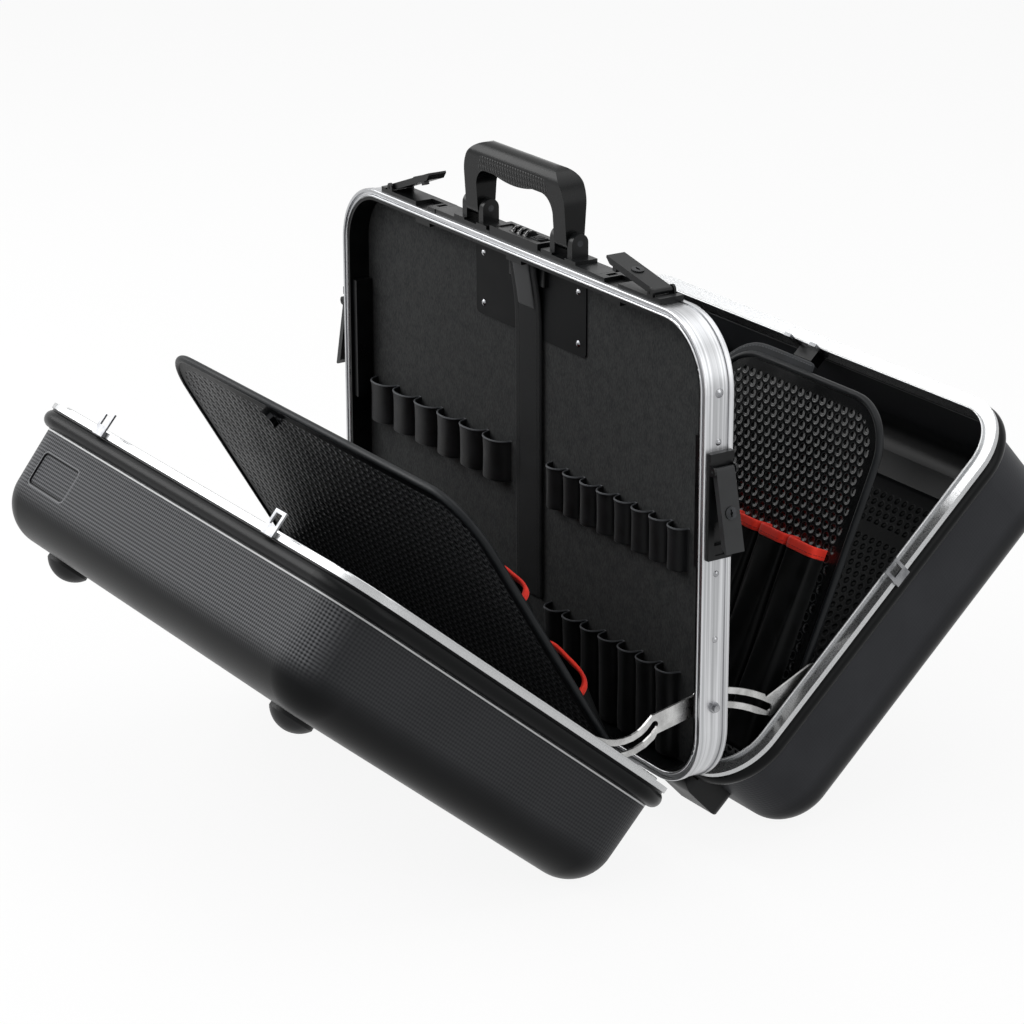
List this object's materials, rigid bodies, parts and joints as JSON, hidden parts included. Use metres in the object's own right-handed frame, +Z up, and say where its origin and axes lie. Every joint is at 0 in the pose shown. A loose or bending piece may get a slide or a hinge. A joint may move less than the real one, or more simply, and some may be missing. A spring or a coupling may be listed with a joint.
{
  "type": "tool case",
  "caption": "Tool case standing open on a central aluminium frame, with hinged shells, stays, tool boards, loops, drop latches, a dial lock and a carrying handle.",
  "frame": {"origin": "middle of the bounding box, on the floor plane the open case stands on", "axes": "+X to the case's right along its width, -Y toward the front shell, +Z up"},
  "size_m": [0.5304, 0.646, 0.4729],
  "materials": {
    "shell_black": "moulded, finely ribbed walls, satin bead",
    "rim_aluminium": "brushed",
    "frame_aluminium": "brushed",
    "liner_black": "matte",
    "panel_felt": "felt on a stiff board",
    "plate_dark": "satin",
    "steel_bright": "plated",
    "stay_steel": "plated, satin",
    "latch_black": "satin black",
    "lever_grey": "satin grey",
    "dial_black": "satin with white figures",
    "handle_black": "soft satin",
    "foot_black": "satin",
    "board_dimpled": "pressed dimple pattern",
    "piping_black": "smooth",
    "cloth_black": "soft coated cloth",
    "binding_red": "sewn red binding"
  },
  "bodies": {
    "frame": {"frame_strip": "frame_aluminium", "frame_liner": "liner_black", "centre_panel": "panel_felt", "panel_plate": "plate_dark", "panel_rivets": "steel_bright", "frame_rivets": "steel_bright", "stay_studs": "steel_bright", "frame_hinge_leaves": "steel_bright", "hinge_pins": "steel_bright", "lock_strip": "latch_black", "lock_body": "latch_black", "lock_axle": "steel_bright", "handle_pins": "steel_bright", "latch_base_top_right": "latch_black", "latch_base_top_left": "latch_black", "latch_base_side_right": "latch_black", "latch_base_side_left": "latch_black", "latch_keepers": "latch_black", "panel_strap": "cloth_black", "wide_loops": "cloth_black", "narrow_loops": "cloth_black", "deep_pockets": "cloth_black"},
    "front_shell_body": {"front_shell": "shell_black", "front_rim": "rim_aluminium", "front_hasps": "steel_bright", "front_shell_fittings": "steel_bright", "front_feet": "foot_black", "front_base_feet": "foot_black"},
    "rear_shell_body": {"rear_shell": "shell_black", "rear_rim": "rim_aluminium", "rear_hasps": "steel_bright", "rear_shell_fittings": "steel_bright", "rear_base_feet": "foot_black", "rear_pad": "board_dimpled"},
    "front_board_body": {"front_board": "board_dimpled", "front_board_piping": "piping_black", "front_board_pockets": "cloth_black", "front_board_binding": "binding_red"},
    "rear_board_body": {"rear_board": "board_dimpled", "rear_board_piping": "piping_black", "rear_board_pockets": "cloth_black", "rear_board_binding": "binding_red", "rear_board_strap": "cloth_black"},
    "front_stay_right_body": {"front_stay_right": "stay_steel"},
    "front_stay_left_body": {"front_stay_left": "stay_steel"},
    "rear_stay_right_body": {"rear_stay_right": "stay_steel"},
    "rear_stay_left_body": {"rear_stay_left": "stay_steel"},
    "handle_body": {"handle": "handle_black"},
    "dial_1_body": {"dial_1": "dial_black"},
    "dial_2_body": {"dial_2": "dial_black"},
    "dial_3_body": {"dial_3": "dial_black"},
    "release_button_body": {"release_button": "lever_grey"},
    "lever_top_right_body": {"lever_top_right": "lever_grey"},
    "lever_top_left_body": {"lever_top_left": "lever_grey"},
    "lever_side_right_body": {"lever_side_right": "lever_grey"},
    "lever_side_left_body": {"lever_side_left": "lever_grey"},
    "key_top_right_body": {"key_top_right": "steel_bright"},
    "key_top_left_body": {"key_top_left": "steel_bright"},
    "key_side_right_body": {"key_side_right": "steel_bright"},
    "key_side_left_body": {"key_side_left": "steel_bright"}
  },
  "joints": [
    {"name": "front_shell_hinge", "type": "hinge", "parent": "frame", "child": "front_shell_body", "pos_m": [0, -0.01031, 0.05068], "axis": [1, 0, 0], "range_deg": [-50, 0]},
    {"name": "rear_shell_hinge", "type": "hinge", "parent": "frame", "child": "rear_shell_body", "pos_m": [0, 0.01459, 0.05068], "axis": [-1, 0, 0], "range_deg": [-47, 0]},
    {"name": "front_stay_pivot_right", "type": "hinge", "parent": "frame", "child": "front_stay_right_body", "pos_m": [0.2298, 0.00214, 0.12468], "axis": [1, 0, 0], "range_deg": [-75, 0]},
    {"name": "front_stay_pivot_left", "type": "hinge", "parent": "frame", "child": "front_stay_left_body", "pos_m": [-0.2298, 0.00214, 0.12468], "axis": [1, 0, 0], "range_deg": [-75, 0]},
    {"name": "rear_stay_pivot_right", "type": "hinge", "parent": "rear_shell_body", "child": "rear_stay_right_body", "pos_m": [0.2271, 0.10073, 0.12252], "axis": [-1, 0, 0], "range_deg": [0, 7.5]},
    {"name": "rear_stay_pivot_left", "type": "hinge", "parent": "rear_shell_body", "child": "rear_stay_left_body", "pos_m": [-0.2271, 0.10073, 0.12252], "axis": [-1, 0, 0], "range_deg": [0, 7.5]},
    {"name": "front_board_hinge", "type": "hinge", "parent": "front_shell_body", "child": "front_board_body", "pos_m": [0, -0.03745, 0.051], "axis": [1, 0, 0], "range_deg": [0, 23.6]},
    {"name": "rear_board_hinge", "type": "hinge", "parent": "rear_shell_body", "child": "rear_board_body", "pos_m": [0.118, 0.06225, 0.03194], "axis": [-1, 0, 0], "range_deg": [0, 24.6]},
    {"name": "handle_pivot", "type": "hinge", "parent": "frame", "child": "handle_body", "pos_m": [0, 0.00214, 0.42188], "axis": [1, 0, 0], "range_deg": [-80, 80]},
    {"name": "dial_1_spin", "type": "hinge", "parent": "frame", "child": "dial_1_body", "pos_m": [-0.008, 0.00214, 0.41118], "axis": [1, 0, 0], "continuous": true},
    {"name": "dial_2_spin", "type": "hinge", "parent": "frame", "child": "dial_2_body", "pos_m": [0, 0.00214, 0.41118], "axis": [1, 0, 0], "continuous": true},
    {"name": "dial_3_spin", "type": "hinge", "parent": "frame", "child": "dial_3_body", "pos_m": [0.008, 0.00214, 0.41118], "axis": [1, 0, 0], "continuous": true},
    {"name": "release_button_slide", "type": "slide", "parent": "frame", "child": "release_button_body", "axis": [1, 0, 0], "range_m": [0, 0.004], "stiffness_N_per_m": 300},
    {"name": "lever_top_right_pivot", "type": "hinge", "parent": "frame", "child": "lever_top_right_body", "pos_m": [0.174, 0.00214, 0.41148], "axis": [0, 1, 0], "range_deg": [-11, 40]},
    {"name": "lever_side_right_pivot", "type": "hinge", "parent": "frame", "child": "lever_side_right_body", "pos_m": [0.2498, 0.00214, 0.30268], "axis": [0, -1, 0], "range_deg": [-13, 40]},
    {"name": "lever_top_left_pivot", "type": "hinge", "parent": "frame", "child": "lever_top_left_body", "pos_m": [-0.174, 0.00214, 0.41148], "axis": [0, -1, 0], "range_deg": [-20, 40]},
    {"name": "lever_side_left_pivot", "type": "hinge", "parent": "frame", "child": "lever_side_left_body", "pos_m": [-0.2498, 0.00214, 0.30268], "axis": [0, 1, 0], "range_deg": [-13, 40]},
    {"name": "key_top_right_turn", "type": "hinge", "parent": "lever_top_right_body", "child": "key_top_right_body", "pos_m": [0.14455, 0.00214, 0.4172], "axis": [0.1908, 0, 0.9816], "range_deg": [0, 90]},
    {"name": "key_side_right_turn", "type": "hinge", "parent": "lever_side_right_body", "child": "key_side_right_body", "pos_m": [0.25655, 0.00214, 0.27344], "axis": [0.9744, 0, 0.225], "range_deg": [0, 90]},
    {"name": "key_top_left_turn", "type": "hinge", "parent": "lever_top_left_body", "child": "key_top_left_body", "pos_m": [-0.14581, 0.00214, 0.42174], "axis": [-0.342, 0, 0.9397], "range_deg": [0, 90]},
    {"name": "key_side_left_turn", "type": "hinge", "parent": "lever_side_left_body", "child": "key_side_left_body", "pos_m": [-0.25655, 0.00214, 0.27344], "axis": [-0.9744, 0, 0.225], "range_deg": [0, 90]}
  ],
  "couplings": [
    {"joint": "front_stay_pivot_right", "follows": "front_shell_hinge", "ratio": 1.5},
    {"joint": "rear_stay_pivot_right", "follows": "rear_shell_hinge", "ratio": -0.15},
    {"joint": "front_stay_pivot_left", "follows": "front_shell_hinge", "ratio": 1.5},
    {"joint": "rear_stay_pivot_left", "follows": "rear_shell_hinge", "ratio": -0.15},
    {"joint": "front_board_hinge", "follows": "front_shell_hinge", "ratio": -0.47},
    {"joint": "rear_board_hinge", "follows": "rear_shell_hinge", "ratio": -0.52128}
  ]
}
